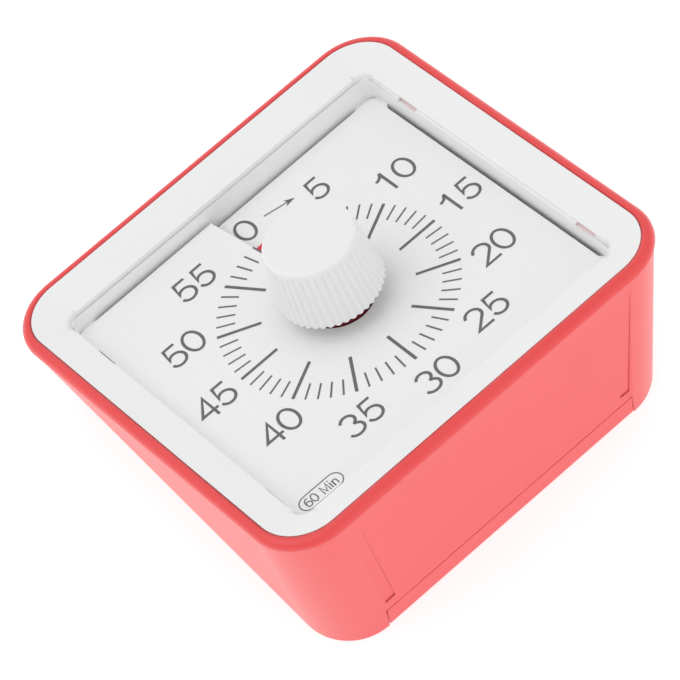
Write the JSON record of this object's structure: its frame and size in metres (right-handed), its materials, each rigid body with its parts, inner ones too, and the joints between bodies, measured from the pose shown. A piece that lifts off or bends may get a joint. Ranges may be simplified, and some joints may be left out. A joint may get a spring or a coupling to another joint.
{
  "type": "visual countdown timer",
  "caption": "Square wedge-shaped desk timer with a ribbed centre knob that turns a red disc out of a slit in the numbered dial to show the time left.",
  "frame": {"origin": "centre of the bounding box at the back face, which the object lies on", "axes": "+X to 3 o'clock, +Y up the back to 12 o'clock, +Z out of the back, towards the dial"},
  "size_m": [0.0798, 0.0771, 0.0421],
  "materials": {
    "coral": "satin",
    "white": "satin",
    "paper": "matt",
    "red": "matt",
    "dark_red": "matt",
    "natural": "matt",
    "black": "matt",
    "steel": "satin",
    "brass": "satin",
    "copper": "satin",
    "green": "satin"
  },
  "bodies": {
    "case": {"housing_shell": "coral", "front_bezel": "white", "dial_sheet": "paper", "back_cover": "coral", "dial_carrier": "natural", "bearing_bush": "natural", "movement_front_case": "natural", "movement_rear_case": "natural", "stator_plate": "steel", "coil_core": "steel", "coil_bobbin": "black", "coil_winding": "copper", "circuit_board": "green", "quartz_crystal": "steel", "control_chip": "black", "buzzer_disc": "brass", "buzzer_ring": "black", "zero_contact": "steel", "battery_cell": "steel", "battery_plus_plate": "steel", "battery_minus_plate": "steel", "battery_spring": "steel", "switch_body": "black", "cover_screws": "steel", "carrier_screws": "steel", "movement_screws": "steel"},
    "knob": {"knob": "white", "arbor": "steel", "disc_drum": "natural", "zero_cam": "natural", "clutch_spring": "steel"},
    "disc": {"time_disc": "red", "disc_collar": "dark_red"},
    "centre": {"centre_wheel": "natural"},
    "third": {"third_wheel": "natural", "third_pinion": "natural"},
    "fourth": {"fourth_wheel": "natural", "fourth_pinion": "natural"},
    "fifth": {"fifth_wheel": "natural", "fifth_pinion": "natural"},
    "rotor": {"rotor_pinion": "natural", "rotor_magnet": "steel"},
    "door": {"battery_door": "coral"},
    "switch": {"switch_slider": "black"}
  },
  "joints": [
    {"name": "knob_turn", "type": "hinge", "parent": "case", "child": "knob", "pos_m": [0, 0.00103, 0.02973], "axis": [0, -0.309, -0.9511], "range_deg": [0, 360]},
    {"name": "disc_rise", "type": "slide", "parent": "knob", "child": "disc", "axis": [0, 0.309, 0.9511], "range_m": [0, 0.0018]},
    {"name": "rotor_spin", "type": "hinge", "parent": "case", "child": "rotor", "pos_m": [0.01362, 0.00788, 0.0275], "axis": [0, 0.309, 0.9511], "continuous": true},
    {"name": "fifth_spin", "type": "hinge", "parent": "case", "child": "fifth", "pos_m": [0.00861, 0.01102, 0.02648], "axis": [0, 0.309, 0.9511], "continuous": true},
    {"name": "fourth_spin", "type": "hinge", "parent": "case", "child": "fourth", "pos_m": [-0.00149, 0.01235, 0.02605], "axis": [0, 0.309, 0.9511], "continuous": true},
    {"name": "third_spin", "type": "hinge", "parent": "case", "child": "third", "pos_m": [-0.00935, 0.00617, 0.02806], "axis": [0, 0.309, 0.9511], "continuous": true},
    {"name": "centre_spin", "type": "hinge", "parent": "case", "child": "centre", "pos_m": [0, 0.00103, 0.02973], "axis": [0, 0.309, 0.9511], "continuous": true},
    {"name": "door_slide", "type": "slide", "parent": "case", "child": "door", "axis": [0, -1, 0], "range_m": [0, 0.02]},
    {"name": "switch_slide", "type": "slide", "parent": "case", "child": "switch", "axis": [1, 0, 0], "range_m": [0, 0.003]}
  ],
  "couplings": [
    {"joint": "disc_rise", "follows": "knob_turn", "m_per_rad": 0.00028648},
    {"joint": "fifth_spin", "follows": "rotor_spin", "ratio": -0.25},
    {"joint": "fourth_spin", "follows": "rotor_spin", "ratio": 0.033333},
    {"joint": "third_spin", "follows": "rotor_spin", "ratio": -0.0044444},
    {"joint": "centre_spin", "follows": "rotor_spin", "ratio": 0.00055556}
  ]
}
